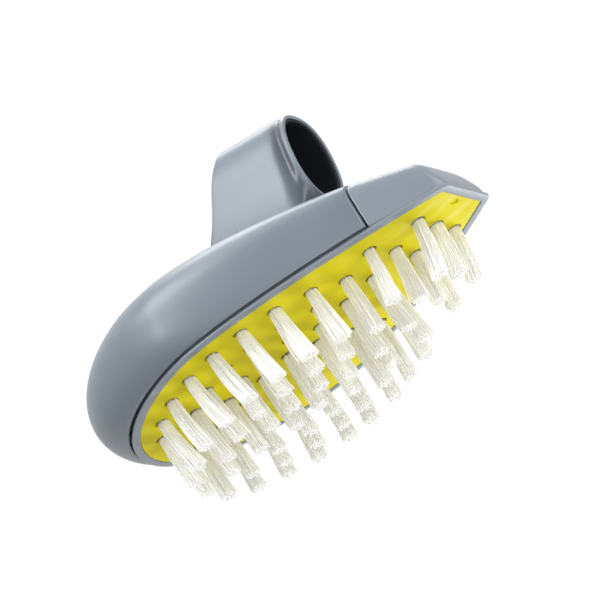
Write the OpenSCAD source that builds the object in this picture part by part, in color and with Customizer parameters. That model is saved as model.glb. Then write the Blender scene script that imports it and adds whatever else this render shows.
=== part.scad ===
// Palm-held vegetable brush: an egg-shaped bristle plate in a slim frame with an
// angular nose, a humped grip cover over it and a finger loop on top.
// Millimetres, +Z up, bristle tips on z = 0, nose toward +X.

/* [Bristle plate] */
// Length of the bristle plate
plate_len = 106; // [98:1:116]
// Width of the bristle plate at its widest
plate_w = 66.4; // [60:0.2:74]
// Distance from the rear end to the widest place
widest_at = 41.3; // [38:0.1:45]
// Width of the plate's straight front edge
plate_front_w = 17.4; // [14:0.2:22]
// Thickness of the plate
plate_t = 4.5; // [4:0.1:5.5]
// Clearance round the plate in its pocket
plate_fit = 0.15; // [0.05:0.05:0.3]
// Diameter of the plate's locating pegs
peg_d = 3.6; // [2.6:0.1:5]
// Clearance round a peg in the deck
peg_fit = 0.1; // [0.05:0.05:0.25]

/* [Tufts] */
// Free length of the bristles below the plate
bristle_len = 16; // [10:0.5:22]
// Diameter of a tuft hole
hole_d = 3.7; // [3.4:0.1:4.4]
// Depth of a tuft hole
hole_depth = 3.3; // [2.8:0.1:3.5]
// Diameter of a tuft at its root
tuft_d = 3.3; // [2.8:0.1:4]
// Strands that stand for the filaments of a tuft
strands = 8; // [6:1:8]
// How much wider a tuft is at its tips
tuft_spread = 1.25; // [1:0.05:1.4]
// How far the tips of the outer tufts lean outward
lean_out = 2.7; // [0:0.1:3.4]
// How much more the tips lean outward at the nose, and less at the rear
lean_flare = 2.3; // [0:0.1:3]
// How far the tips lean toward the nose
lean_forward = 1.3; // [0:0.1:2.6]
// How much further forward the tips lean on one side, and back on the other
lean_twist = 3.8; // [0:0.1:4.4]
// How far the tips of the two front rows lean sideways
row_lean = 3.5; // [0:0.1:4.4]
// Tufts in the outer ring
outer_count = 21; // [16:1:22]
// Tufts in the middle ring
middle_count = 15; // [11:1:16]
// Tufts in the inner ring
inner_count = 9; // [6:1:10]
// Length of the outer ring of tufts
ring_len = 70.4; // [68:0.2:73]
// Width of the outer ring of tufts
ring_w = 53.2; // [51:0.2:56]
// Distance between the rings of tufts
ring_pitch = 9.4; // [9:0.1:10]
// Distance from the plate's rear end to the outer ring
ring_margin = 5.9; // [4.5:0.1:7]
// Distance from the row of four tufts to the plate's edge at its end
four_margin = 4.5; // [4:0.1:6]
// How far the row of four sits to one side
four_side = 1.9; // [0:0.1:2.4]
// Distance from the row of three tufts to the plate's edge at its end
three_margin = 3.7; // [3.3:0.1:5]
// How far the row of three sits to one side
three_side = 2.4; // [0:0.1:2.6]
// Height of the flat wire that anchors a tuft
anchor_h = 1; // [0.8:0.1:1.2]
// Thickness of the anchor wire
anchor_t = 0.4; // [0.3:0.05:0.6]

/* [Frame] */
// Width of the rim that shows round the plate
rim_w = 2.1; // [1.8:0.1:2.4]
// How far the rim stands below the plate's face
rim_proud = 0.2; // [0:0.1:0.5]
// Height of the rim's outer edge
rim_h = 0.8; // [0.6:0.1:1.2]
// Wall of the plate's pocket
pocket_wall = 0.8; // [0.6:0.05:0.9]
// Thickness of the deck over the plate
deck_t = 2.6; // [2.4:0.1:3]
// Diameter of the cover's screws
screw_d = 2.4; // [2:0.1:3]
// Length of the screws under their heads
screw_len = 9; // [6:0.5:12]
// Clearance round a screw
screw_fit = 0.1; // [0.05:0.05:0.25]

/* [Grip cover] */
// Distance from the plate's rear end to the seam with the nose
seam_at = 90.6; // [88:0.2:93]
// Width of the dark seam
seam_gap = 0.4; // [0.2:0.1:0.8]
// Height of the shadow gap above the rim
shadow_gap = 0.5; // [0.3:0.1:1]
// Distance from the plate's edge to the outside of the cover's lower edge
skirt_w = 2.6; // [2.4:0.1:3.2]
// How far the cover bulges past its lower edge at the rear
bulge_rear = 6.8; // [4:0.1:9]
// How fast the bulge fades toward the nose
bulge_fade = 1.25; // [1:0.05:1.6]
// Height of the widest line above the plate's face at the rear
bulge_h = 11; // [9:0.1:13]
// Height of the widest line above the plate's face at the seam
bulge_seam_h = 5.3; // [4:0.1:7]
// Height of the hump above the plate's face
hump_h = 28.7; // [26:0.1:33]
// Distance from the plate's rear end to the top of the hump
hump_at = 31.8; // [28:0.2:36]
// Height of the cover at the seam above the plate's face
seam_h = 14.6; // [13:0.1:16]
// Wall of the cover
cover_wall = 2.4; // [2:0.1:2.8]
// Distance of the two front bosses from the middle
boss_y = 13; // [10:0.5:14]
// Diameter of a boss
boss_d = 6.4; // [5:0.2:7]
// Clearance between mating mouldings
fit = 0.15; // [0.05:0.05:0.3]

/* [Nose] */
// Width of the rim in front of the plate
nose_rim = 2.4; // [2:0.1:4]
// Height of the nose at its front facet above the plate's face
nose_h = 10; // [8.6:0.1:11]
// How far the front facet leans back
nose_lean = 4.2; // [1:0.1:5]
// How far the nose's sides lean in at the front
nose_draft = 2.6; // [0.5:0.1:4]
// Radius of the nose's front edges
nose_round = 2; // [1:0.1:2.4]
// Wall of the nose
nose_wall = 2.2; // [1.8:0.1:2.6]
// Length of the tongue that the nose puts into the cover
tongue_len = 3; // [2:0.5:5]

/* [Finger loop] */
// Width of the finger opening
loop_w = 15.2; // [14:0.2:18]
// Height of the finger opening at the front
loop_h = 22; // [20:0.5:25]
// Wall of the loop
loop_wall = 1.3; // [1.1:0.1:2]
// Thickness of the soft liner
liner_t = 0.7; // [0.6:0.1:1.2]
// Distance from the plate's rear end to the front foot
loop_front = 78.4; // [76:0.2:80]
// Length of the loop along its feet
loop_foot_len = 30.6; // [27:0.2:33]
// How much shorter the loop is along its crown
loop_slant = 12.6; // [8:0.2:16]
// How far the crown of the front edge leans forward
loop_lean = 2.6; // [0:0.1:3.6]
// Height of the opening's floor above the plate's face at the front
floor_front = 24; // [22.6:0.1:26]
// Height of the opening's floor above the plate's face at the rear
floor_rear = 30.6; // [30:0.1:33]
// Height of the opening's crown above the plate's face at the rear
crown_rear = 51.6; // [49:0.2:54]
// Length over which the front foot is cut back under the lip
lip_len = 4; // [2:0.1:6]
// How far the feet spread
foot_spread = 3.4; // [0.5:0.1:4]

/* [Hidden] */
$fn = 48;

// Heights above the bristle tips
face_z = bristle_len;
deck_z = face_z + plate_t;
deck_top = deck_z + deck_t;
rim_bottom = face_z - rim_proud;
rim_top = rim_bottom + rim_h;
cover_bottom = rim_top + shadow_gap;

// Plan of the plate; the rear is a superellipse, the sides narrow to the front edge
half_w = plate_w / 2;
front_half = plate_front_w / 2;
rear_power = 1.9;
side_power = 1.45;
taper_len = plate_len - widest_at;
nose_front = plate_len + nose_rim;
x_mid = (nose_front - skirt_w - bulge_rear) / 2;
plan_steps = 26;

function smooth(t) = t <= 0 ? 0 : t >= 1 ? 1 : t * t * (3 - 2 * t);
function mix(a, b, t) = a + (b - a) * t;
function taper_t(x) = max(0, (x - widest_at) / taper_len);
function half_at(x) = half_w - (half_w - front_half) * pow(taper_t(x), side_power);
function slope_at(x) = -(half_w - front_half) * side_power / taper_len * pow(taper_t(x), side_power - 1);

// Point of the plan at s (0 at the front, 1 at the rear end), moved outward by d
function front_edge(x, d) = [x, half_at(x) + d * sqrt(1 + pow(slope_at(x), 2))];
function rear_edge(t, d) =
  let (
    c = cos(t),
    s = sin(t),
    nx = -pow(c, 2 - 2 / rear_power) / widest_at,
    ny = pow(s, 2 - 2 / rear_power) / half_w,
    len = norm([nx, ny])
  )
  [
    widest_at * (1 - pow(c, 2 / rear_power)) + d * nx / len,
    half_w * pow(s, 2 / rear_power) + d * ny / len
  ];
function edge(s, x_front, d) =
  s < 0.5
    ? front_edge(mix(x_front, widest_at, s / 0.5), d)
    : rear_edge(90 * (1 - (s - 0.5) / 0.5), d);
function outline(x_front, d) =
  let (side = [for (i = [0 : plan_steps]) edge(i / plan_steps, x_front, d)])
  concat(
    [for (p = side) [p[0], -p[1]]],
    [for (i = [plan_steps - 1 : -1 : 0]) side[i]]
  );

module prism(x_front, d, z0, z1) {
  translate([0, 0, z0])
    linear_extrude(z1 - z0)
      polygon(outline(x_front, d));
}

// Grip cover: rows of points run from the seam round the rear end and back,
// columns climb from the lower edge over the widest line to the crest
rows = 2 * plan_steps;
low_cols = 4;
top_cols = 9;
cols = low_cols + top_cols;
skirt_in = plate_fit + pocket_wall + 2 * fit;
bulge_end = 82;
side_round = 2.4;
rear_round = 2.02;
under_power = 1.6;
seam_round = 5;

function bulge(x) = bulge_rear * pow(max(0, 1 - max(0, x) / bulge_end), bulge_fade);
function part_z(x) = face_z + mix(bulge_seam_h, bulge_h, smooth((seam_at - x) / (seam_at - widest_at)));
function crest_z(x) =
  face_z + hump_h - (hump_h - seam_h) * pow(max(0, (x - hump_at) / (seam_at - hump_at)), side_power);
function roundness(x) =
  x > hump_at
    ? mix(side_round, seam_round, pow((x - hump_at) / (seam_at - hump_at), 2))
    : mix(side_round, rear_round, pow((hump_at - x) / hump_at, 2));
function part_offset(x, wall) = max(skirt_in, skirt_w + bulge(x) - wall);
function plan_x(i) = edge((i <= plan_steps ? i : rows - i) / plan_steps, seam_at, 0)[0];
function plan_p(i, d) =
  let (p = edge((i <= plan_steps ? i : rows - i) / plan_steps, seam_at, d))
  [p[0], i <= plan_steps ? -p[1] : p[1]];

function low_point(i, j, wall) =
  let (
    x = plan_x(i),
    a = 90 * j / low_cols,
    d0 = wall == 0 ? skirt_w : skirt_in,
    p = plan_p(i, mix(d0, part_offset(x, wall), pow(sin(a), under_power)))
  )
  [p[0], p[1], mix(cover_bottom, part_z(x), 1 - cos(a))];
function top_point(i, j, wall) =
  let (
    x = plan_x(i),
    a = 90 * j / top_cols,
    c = pow(cos(a), 2 / roundness(x)),
    s = pow(sin(a), 2 / roundness(x)),
    p = plan_p(i, part_offset(x, wall)),
    sx = max(hump_at, x)
  )
  [mix(sx, p[0], c), p[1] * c, mix(part_z(x), crest_z(sx) - wall, s)];
function skin_point(i, j, wall) =
  j <= low_cols ? low_point(i, j, wall) : top_point(i, j - low_cols, wall);
function cover_z(x, y, wall) =
  let (
    y0 = front_edge(x, part_offset(x, wall))[1],
    n = roundness(x)
  )
  mix(part_z(x), crest_z(x) - wall, pow(1 - pow(abs(y) / y0, n), 1 / n));

// Crest points are shared by the two sides; all rear rows end in one of them
rear_row = len([for (i = [0 : plan_steps]) if (plan_x(i) > hump_at) i]);
function crest_row(i) = min(i, rows - i, rear_row);
skin_count = (rows + 1) * cols;
crest_count = rear_row + 1;
layer_count = skin_count + crest_count;
function id(layer, i, j) =
  layer * layer_count + (j < cols ? i * cols + j : skin_count + crest_row(i));
function layer_points(wall) = concat(
  [for (i = [0 : rows]) for (j = [0 : cols - 1]) skin_point(i, j, wall)],
  [for (i = [0 : rear_row]) [max(hump_at, plan_x(i)), 0, crest_z(max(hump_at, plan_x(i))) - wall]]
);
function flip_if(f, yes) = yes ? [f[0], f[2], f[1]] : f;
function patch(a, b, c, d) = c == d ? [[a, b, c]] : a == d ? [[a, b, c]] : [[a, b, c], [a, c, d]];
function skin_faces(layer) = [
  for (i = [0 : rows - 1])
    for (j = [0 : cols - 1])
      for (f = patch(id(layer, i, j), id(layer, i + 1, j), id(layer, i + 1, j + 1), id(layer, i, j + 1)))
        flip_if(f, layer == 1)
];
function edge_faces() = [
  for (i = [0 : rows - 1])
    for (f = patch(id(0, i, 0), id(0, i + 1, 0), id(1, i + 1, 0), id(1, i, 0)))
      f
];
function seam_faces() = concat(
  [for (j = [0 : cols - 1]) for (f = patch(id(0, 0, j), id(1, 0, j), id(1, 0, j + 1), id(0, 0, j + 1)))
    flip_if(f, true)],
  [for (j = [0 : cols - 1]) for (f = patch(id(0, rows, j), id(1, rows, j), id(1, rows, j + 1), id(0, rows, j + 1)))
    f]
);

module cover_shell() {
  polyhedron(
    points = concat(layer_points(0), layer_points(cover_wall)),
    faces = concat(
      [for (f = skin_faces(0)) f],
      [for (f = skin_faces(1)) f],
      [for (f = edge_faces()) flip_if(f, true)],
      seam_faces()
    )
  );
}

// Screw places: one at the rear, two in front; each boss ends inside the cover's wall
rear_boss_x = 17;
front_boss_x = 60;
function rear_crest(x, wall) =
  let (reach = hump_at + part_offset(0, wall))
  mix(part_z(0), crest_z(hump_at) - wall, pow(1 - pow((hump_at - x) / reach, rear_round), 1 / rear_round));
boss_places = [
  [rear_boss_x, 0, rear_crest(rear_boss_x - boss_d / 2, 0) - 0.6],
  [front_boss_x, -boss_y, cover_z(front_boss_x + boss_d / 2, boss_y + boss_d / 2, 0) - 0.6],
  [front_boss_x, boss_y, cover_z(front_boss_x + boss_d / 2, boss_y + boss_d / 2, 0) - 0.6]
];
head_d = 2 * screw_d;
head_h = 1.3;

module grip_cover() {
  color([0.55, 0.6, 0.65])
    difference() {
      union() {
        cover_shell();
        for (b = boss_places)
          translate([b[0], b[1], deck_top])
            cylinder(h = b[2] - deck_top, d = boss_d);
      }
      for (b = boss_places)
        translate([b[0], b[1], deck_top - 1])
          cylinder(h = screw_len - deck_t + head_h + 2.5, d = screw_d + 2 * screw_fit);
    }
}

// Nose: its rear face repeats the cover's section at the seam
function seam_section(wall, z0, inset) =
  let (
    up = [for (j = [low_cols : cols - 1]) skin_point(0, j, wall)],
    narrow = 1 + inset / up[0][1]
  )
  concat(
    [[up[0][1] * narrow, z0]],
    [for (p = up) [p[1] * narrow, p[2]]],
    [[0, crest_z(seam_at) - wall]],
    [for (k = [len(up) - 1 : -1 : 0]) [-up[k][1] * narrow, up[k][2]]],
    [[-up[0][1] * narrow, z0]]
  );
module section_slab(x, len, wall, z0, inset) {
  translate([x, 0, 0])
    rotate([90, 0, 90])
      linear_extrude(len)
        polygon(seam_section(wall, z0, inset));
}
nose_start = seam_at + seam_gap;
nose_steps = 6;
nose_step_in = 0.35;
nose_side = [
  for (k = [0 : nose_steps])
    front_edge(mix(nose_start, nose_front - nose_step_in, k / nose_steps), rim_w - nose_step_in)
];
nose_top_x = nose_front - nose_lean - nose_round;
nose_top_y = nose_side[nose_steps][1] - nose_draft - nose_round;

module nose_block() {
  hull() {
    section_slab(nose_start, 0.2, 0, cover_bottom, 0);
    translate([0, 0, rim_top - 0.3])
      linear_extrude(0.6)
        polygon(concat([for (p = nose_side) [p[0], -p[1]]], [for (p = nose_side) [p[0], p[1]]]));
    for (y = [-nose_top_y, nose_top_y])
      translate([nose_top_x, y, face_z + nose_h - nose_round])
        sphere(r = nose_round, $fn = 24);
  }
}
module nose_core() {
  hull() {
    section_slab(nose_start - 0.5, 0.7, nose_wall, deck_top + 0.4, 0.8);
    translate([nose_top_x - 3 * nose_wall, 0, deck_top + 0.7])
      cube([0.4, nose_top_y, 0.6], center = true);
  }
}
tongue_w = 16;
tongue_t = 1.6;
module tongue() {
  translate([seam_at - tongue_len, -tongue_w / 2, crest_z(seam_at) - cover_wall - fit - tongue_t])
    cube([tongue_len + seam_gap + 3, tongue_w, tongue_t]);
}

peg_places = [[28, -17], [28, 17], [74, -10], [74, 10]];
peg_h = deck_t - 0.3;

module base_frame() {
  color([0.58, 0.6, 0.64])
    difference() {
      union() {
        difference() {
          union() {
            prism(nose_front, rim_w, rim_bottom, rim_top);
            prism(nose_start + 2, plate_fit + pocket_wall, rim_bottom, deck_top);
            nose_block();
          }
          nose_core();
        }
        tongue();
      }
      prism(plate_len + plate_fit, plate_fit, rim_bottom - 1, deck_z);
      for (p = peg_places)
        translate([p[0], p[1], deck_z - 1])
          cylinder(h = deck_t + 2, d = peg_d + 2 * peg_fit);
      for (b = boss_places) {
        translate([b[0], b[1], deck_z - 1])
          cylinder(h = deck_t + 2, d = screw_d + 2 * screw_fit);
        translate([b[0], b[1], deck_z - 1])
          cylinder(h = head_h + 1, d = head_d + 2 * screw_fit);
      }
    }
}

module cover_screws() {
  color([0.7, 0.7, 0.72])
    for (b = boss_places)
      translate([b[0], b[1], deck_z + 0.1]) {
        cylinder(h = head_h - 0.1, d = head_d);
        cylinder(h = head_h - 0.1 + screw_len, d = screw_d);
      }
}

// Tuft places on the plate
ring_x = ring_margin + ring_len / 2;
function ring_place(t, len, w) =
  let (a = t + 90 / PI * (len - w) / (len + w) * sin(2 * t))
  [ring_x - len / 2 * cos(a), w / 2 * sin(a)];
function ring(k, count) = [
  for (i = [0 : count - 1])
    ring_place(360 * (i + 0.5) / count, ring_len - 2 * k * ring_pitch, ring_w - 2 * k * ring_pitch)
];
outer_places = ring(0, outer_count);
middle_places = ring(1, middle_count);
inner_places = ring(2, inner_count);
centre_places = [[ring_x - ring_pitch / 2, 0], [ring_x + ring_pitch / 2, 0]];
// The two front rows share out the space between the outer ring and the nose
row_step = (plate_len - ring_x - ring_len / 2) / 3;
row_curve = 1.7;
four_at = plate_len - 2 * row_step;
four_pitch = (front_edge(four_at - row_curve, 0)[1] - four_margin - four_side) / 1.5;
front_places = [
  for (k = [-1.5 : 1 : 1.5])
    [four_at - (abs(k) > 1 ? row_curve : 0), four_side + k * four_pitch]
];
three_at = plate_len - row_step;
three_pitch = front_edge(three_at, 0)[1] - three_margin - three_side;
nose_places = [for (k = [-1 : 1]) [three_at, three_side + k * three_pitch]];
all_places = concat(outer_places, middle_places, inner_places, centre_places, front_places, nose_places);

// A tuft is one closed solid: a root plug whose end splits into strands
root_z = face_z + hole_depth - anchor_h;
rows_from = four_at - 2 * row_curve;
function lean_side(y) = max(-1, min(1, 2 * y / (ring_w - 3 * ring_pitch)));
function tuft_lean(p) =
  p[0] > rows_from
    ? [0, -row_lean]
    : [
        lean_forward - lean_twist * p[1] / half_w,
        (lean_out + lean_flare * (2 * p[0] / plate_len - 1)) * lean_side(p[1])
      ];
function spoke(k, r) = [r * cos(360 * k / strands), r * sin(360 * k / strands)];
function strand_tip(p, k) =
  let (
    r = tuft_d / 2 * tuft_spread,
    lean = tuft_lean(p),
    mid = (spoke(k, r) + spoke(k + 1, r)) * 0.36
  )
  [
    for (c = [[0, 0], spoke(k, r), spoke(k + 1, r)])
      let (q = mid + (c - mid) * 0.8)
      [p[0] + lean[0] + q[0], p[1] + lean[1] + q[1], 0]
  ];
function tuft_points(p) = concat(
  [for (k = [0 : strands - 1]) let (q = spoke(k, tuft_d / 2)) [p[0] + q[0], p[1] + q[1], root_z]],
  [for (k = [0 : strands - 1]) let (q = spoke(k, tuft_d / 2)) [p[0] + q[0], p[1] + q[1], face_z]],
  [[p[0], p[1], face_z]],
  [for (k = [0 : strands - 1]) for (q = strand_tip(p, k)) q]
);
function tuft_faces() =
  let (n = strands, mid = 2 * n, tips = 2 * n + 1)
  concat(
    [for (k = [1 : n - 2]) [0, k + 1, k]],
    [for (k = [0 : n - 1]) let (m = (k + 1) % n) each [[k, m, n + m], [k, n + m, n + k]]],
    [
      for (k = [0 : n - 1])
        let (a = n + k, b = n + (k + 1) % n, c = tips + 3 * k)
        each [
          [mid, c + 1, c], [mid, a, c + 1],
          [a, c + 2, c + 1], [a, b, c + 2],
          [b, c, c + 2], [b, mid, c],
          [c, c + 1, c + 2]
        ]
    ]
  );
module tufts(places) {
  color([0.94, 0.93, 0.88])
    for (p = places)
      polyhedron(points = tuft_points(p), faces = tuft_faces());
}
module tufts_outer() {
  tufts(outer_places);
}
module tufts_middle() {
  tufts(middle_places);
}
module tufts_inner() {
  tufts(inner_places);
}
module tufts_centre() {
  tufts(centre_places);
}
module tufts_front() {
  tufts(front_places);
}
module tufts_nose() {
  tufts(nose_places);
}
module tuft_anchors() {
  color([0.75, 0.72, 0.6])
    for (p = all_places)
      translate([p[0], p[1], root_z + anchor_h / 2])
        cube([anchor_t, hole_d - 0.4, anchor_h], center = true);
}

dimple_at = 104;
module bristle_plate() {
  color([0.84, 0.8, 0.1]) {
    difference() {
      prism(plate_len, 0, face_z, deck_z);
      for (p = all_places)
        translate([p[0], p[1], face_z - 1])
          cylinder(h = hole_depth + 1, d = hole_d);
      for (y = [-0.6, 0.6])
        translate([dimple_at, y, face_z - 1])
          cylinder(h = 1.4, d = 1.5);
    }
    for (p = peg_places)
      translate([p[0], p[1], deck_z - 1])
        cylinder(h = 1 + peg_h, d = peg_d);
  }
}

// Finger loop: oval rings of points run from the front lip to the slanted rear edge
loop_rings = 16;
ring_points = 40;
foot_points = 5;
foot_sink = 0.15;
loop_back = loop_front - loop_foot_len;

function loop_floor(a) = face_z + mix(floor_front, floor_rear, a);
function loop_crown(a) = face_z + mix(floor_front + loop_h, crown_rear, a);
function under_lip(a) = smooth(a * loop_foot_len / lip_len);
function ring_a(k) = pow(k / loop_rings, 1.35);
function loop_x(a, z) =
  let (t = max(0, min(1, (z - loop_floor(a)) / (loop_crown(a) - loop_floor(a)))))
  mix(loop_front + loop_lean * t, loop_back + loop_slant * t, a);
function oval(q, a, grow) =
  let (
    t = 360 * q / ring_points,
    c = cos(t),
    s = sin(t),
    hz = (loop_crown(a) - loop_floor(a)) / 2,
    n = 2 / 2.25,
    y = (loop_w / 2 + grow) * sign(s) * pow(abs(s), n),
    z = loop_floor(a) + hz + (hz + grow) * sign(c) * pow(abs(c), n)
  )
  [loop_x(a, z), y, z];
function inner_ring(k, grow) = [for (q = [0 : ring_points - 1]) oval(q, ring_a(k), grow)];
quarter = ring_points / 4;
outer_w = loop_w / 2 + liner_t + loop_wall;
function foot_point(m, a) =
  let (x = loop_x(a, 0))
  m <= quarter + foot_points
    ? let (
        t = (m - quarter) / foot_points,
        mid_z = (loop_floor(a) + loop_crown(a)) / 2,
        z = mix(mid_z, cover_z(x, outer_w + foot_spread, 0) - foot_sink, t)
      )
      [loop_x(a, z), outer_w + foot_spread * t * t, z]
    : let (y = (outer_w + foot_spread) * (2 * quarter - m) / (quarter - foot_points))
      [x, y, cover_z(x, y, 0) - foot_sink];
function outer_point(q, a) =
  let (
    m = q <= 2 * quarter ? q : ring_points - q,
    o = oval(m, a, liner_t + loop_wall),
    p = m <= quarter ? o : mix(o, foot_point(m, a), under_lip(a))
  )
  [p[0], q <= 2 * quarter ? p[1] : -p[1], p[2]];
function outer_ring(k) = [for (q = [0 : ring_points - 1]) outer_point(q, ring_a(k))];
function tube_faces(n) = concat(
  [
    for (k = [0 : loop_rings - 1])
      for (q = [0 : n - 1])
        let (r = (q + 1) % n, a = k * n, b = (k + 1) * n, m = (loop_rings + 1) * n)
        each [
          [a + q, b + q, b + r], [a + q, b + r, a + r],
          [m + a + q, m + b + r, m + b + q], [m + a + q, m + a + r, m + b + r]
        ]
  ],
  [
    for (q = [0 : n - 1])
      let (r = (q + 1) % n, m = (loop_rings + 1) * n, e = loop_rings * n)
      each [
        [q, r, m + r], [q, m + r, m + q],
        [e + q, m + e + r, e + r], [e + q, m + e + q, m + e + r]
      ]
  ]
);
module tube(outer, inner) {
  polyhedron(
    points = concat([for (k = [0 : loop_rings]) each outer[k]], [for (k = [0 : loop_rings]) each inner[k]]),
    faces = tube_faces(ring_points)
  );
}
module finger_loop() {
  color([0.57, 0.62, 0.68])
    tube([for (k = [0 : loop_rings]) outer_ring(k)], [for (k = [0 : loop_rings]) inner_ring(k, liner_t)]);
}
module loop_liner() {
  color([0.08, 0.09, 0.12])
    tube([for (k = [0 : loop_rings]) inner_ring(k, liner_t)], [for (k = [0 : loop_rings]) inner_ring(k, 0)]);
}

translate([-x_mid, 0, 0]) {
  grip_cover();
  finger_loop();
  loop_liner();
  base_frame();
  bristle_plate();
  tufts_outer();
  tufts_middle();
  tufts_inner();
  tufts_centre();
  tufts_front();
  tufts_nose();
  tuft_anchors();
  cover_screws();
}
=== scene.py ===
import bpy
import bmesh
import math
import random
from mathutils import Matrix, Vector


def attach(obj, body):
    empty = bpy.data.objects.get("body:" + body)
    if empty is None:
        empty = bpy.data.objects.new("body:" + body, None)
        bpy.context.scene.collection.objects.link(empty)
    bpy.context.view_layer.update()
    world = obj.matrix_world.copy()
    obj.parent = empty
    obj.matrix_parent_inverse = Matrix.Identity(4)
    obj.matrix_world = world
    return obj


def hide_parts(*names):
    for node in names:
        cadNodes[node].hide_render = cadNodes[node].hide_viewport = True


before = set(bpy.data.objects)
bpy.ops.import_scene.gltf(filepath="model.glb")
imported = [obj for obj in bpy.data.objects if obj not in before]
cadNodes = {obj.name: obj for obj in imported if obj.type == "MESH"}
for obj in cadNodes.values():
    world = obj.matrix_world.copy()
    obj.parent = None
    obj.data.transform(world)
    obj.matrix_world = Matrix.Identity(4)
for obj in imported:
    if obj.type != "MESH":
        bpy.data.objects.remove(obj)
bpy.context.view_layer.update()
print("frame loaded with", len(cadNodes), "nodes")

# lengths are millimetres: x from the plate's rear end, y from the middle, z from the bristle tips
plan = {"length": 106.0, "halfWidth": 33.2, "widestAt": 41.3, "frontHalf": 8.7, "rearPower": 1.9,
        "sidePower": 1.45, "midX": 49.5, "frontRim": 2.4 / 2.1, "cornerRadius": 0.4, "cornerGrowth": 0.85,
        "cornerCut": 0.6}


def mix(a, b, t):
    return a + (b - a) * t


def smooth(t):
    t = max(0.0, min(1.0, t))
    return t * t * (3 - 2 * t)


def toRow(p):
    return Vector(((p[0] - plan["midX"]) / 1000, p[1] / 1000, p[2] / 1000))


# camera at the photograph's viewing angle, low in front and looking up at the bristles
camera = {"place": (0.16602743, -0.29243821, -0.12629396), "right": (0.65726877, 0.59595071, -0.46134643),
          "up": (0.61544469, -0.07109806, 0.78496681), "lens": 90, "sensor": 36}


def addCamera():
    right, up = Vector(camera["right"]), Vector(camera["up"])
    turned = Matrix((right, up, right.cross(up))).transposed().to_4x4()
    data = bpy.data.cameras.new("photoCamera")
    data.lens = camera["lens"]
    data.sensor_width = camera["sensor"]
    data.clip_start, data.clip_end = 0.01, 10
    obj = bpy.data.objects.new("photoCamera", data)
    obj.matrix_world = Matrix.Translation(camera["place"]) @ turned
    bpy.context.scene.collection.objects.link(obj)
    bpy.context.scene.camera = obj


addCamera()
print("camera placed")


# mesh helpers
def skin(rings, closeRound=True, closeAcross=False):
    count = len(rings[0])
    faces = []
    for k in range(len(rings) if closeAcross else len(rings) - 1):
        a, b = k * count, (k + 1) % len(rings) * count
        for i in range(count if closeRound else count - 1):
            j = (i + 1) % count
            faces.append((a + i, a + j, b + j, b + i))
    return [p for ring in rings for p in ring], faces


def meshFrom(points, faces, name="part"):
    mesh = bpy.data.meshes.new(name)
    mesh.from_pydata([toRow(p) for p in points], [], faces)
    bm = bmesh.new()
    bm.from_mesh(mesh)
    bmesh.ops.remove_doubles(bm, verts=bm.verts, dist=1e-6)
    bmesh.ops.recalc_face_normals(bm, faces=bm.faces)
    bm.to_mesh(mesh)
    bm.free()
    return mesh


def joined(meshes, name):
    bm = bmesh.new()
    for mesh in meshes:
        bm.from_mesh(mesh)
    whole = bpy.data.meshes.new(name)
    bm.to_mesh(whole)
    bm.free()
    return whole


def withModifiers(mesh, modifiers):
    obj = bpy.data.objects.new("work", mesh)
    bpy.context.scene.collection.objects.link(obj)
    for kind, values in modifiers:
        modifier = obj.modifiers.new(kind, kind)
        for key, value in values.items():
            setattr(modifier, key, value)
    done = bpy.data.meshes.new_from_object(obj.evaluated_get(bpy.context.evaluated_depsgraph_get()))
    bpy.data.objects.remove(obj)
    return done


def addPiece(name, mesh, material, node, sharp=None):
    mesh.name = name
    mesh.materials.clear()
    mesh.materials.append(material)
    mesh.shade_smooth()
    if sharp:
        mesh.set_sharp_from_angle(angle=math.radians(sharp))
    obj = bpy.data.objects.new(name, mesh)
    bpy.context.scene.collection.objects.link(obj)
    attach(obj, "root")
    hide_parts(node)
    return obj


# plan of the plate: the rear is a superellipse, the sides narrow to the straight front edge
def sideEdge(x, d):
    reach = plan["length"] - plan["widestAt"]
    t = max(0.0, (x - plan["widestAt"]) / reach)
    drop = plan["halfWidth"] - plan["frontHalf"]
    slope = drop * plan["sidePower"] / reach * t ** (plan["sidePower"] - 1)
    return x, plan["halfWidth"] - drop * t ** plan["sidePower"] + d * math.sqrt(1 + slope * slope)


def rearEdge(angle, d):
    n = plan["rearPower"]
    c, s = max(0.0, math.cos(angle)), max(0.0, math.sin(angle))
    nx, ny = -c ** (2 - 2 / n) / plan["widestAt"], s ** (2 - 2 / n) / plan["halfWidth"]
    size = math.hypot(nx, ny)
    return (plan["widestAt"] * (1 - c ** (2 / n)) + d * nx / size,
            plan["halfWidth"] * s ** (2 / n) + d * ny / size)


def planEdge(s, frontX, d):
    if s < 0.5:
        return sideEdge(mix(frontX, plan["widestAt"], s / 0.5), d)
    return rearEdge(math.pi * (1 - s), d)


def outline(d, steps=60):
    frontX = plan["length"] + d * plan["frontRim"]
    cut = plan["cornerCut"] * (plan["cornerRadius"] + plan["cornerGrowth"] * d)
    corner, sideStart = sideEdge(frontX, d), sideEdge(frontX - cut, d)
    frontEnd = (frontX, corner[1] - cut)
    half = [(frontX, 0.0), (frontX, frontEnd[1] * 0.5)]
    for k in range(8):
        t = k / 7
        half.append(tuple((1 - t) ** 2 * a + 2 * t * (1 - t) * b + t * t * c
                          for a, b, c in zip(frontEnd, corner, sideStart)))
    half += [sideEdge(mix(sideStart[0], plan["widestAt"], k / steps), d) for k in range(1, steps + 1)]
    half += [rearEdge(math.pi / 2 * (1 - k / steps), d) for k in range(1, steps + 1)]
    return [(x, -y) for x, y in half] + [(x, y) for x, y in reversed(half[1:-1])]


# shared shader groups and material helpers
def addNode(tree, kind, **values):
    made = tree.nodes.new(kind)
    for key, value in values.items():
        if hasattr(made, key):
            setattr(made, key, value)
        else:
            made.inputs[key.replace("_", " ")].default_value = value
    return made


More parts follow.
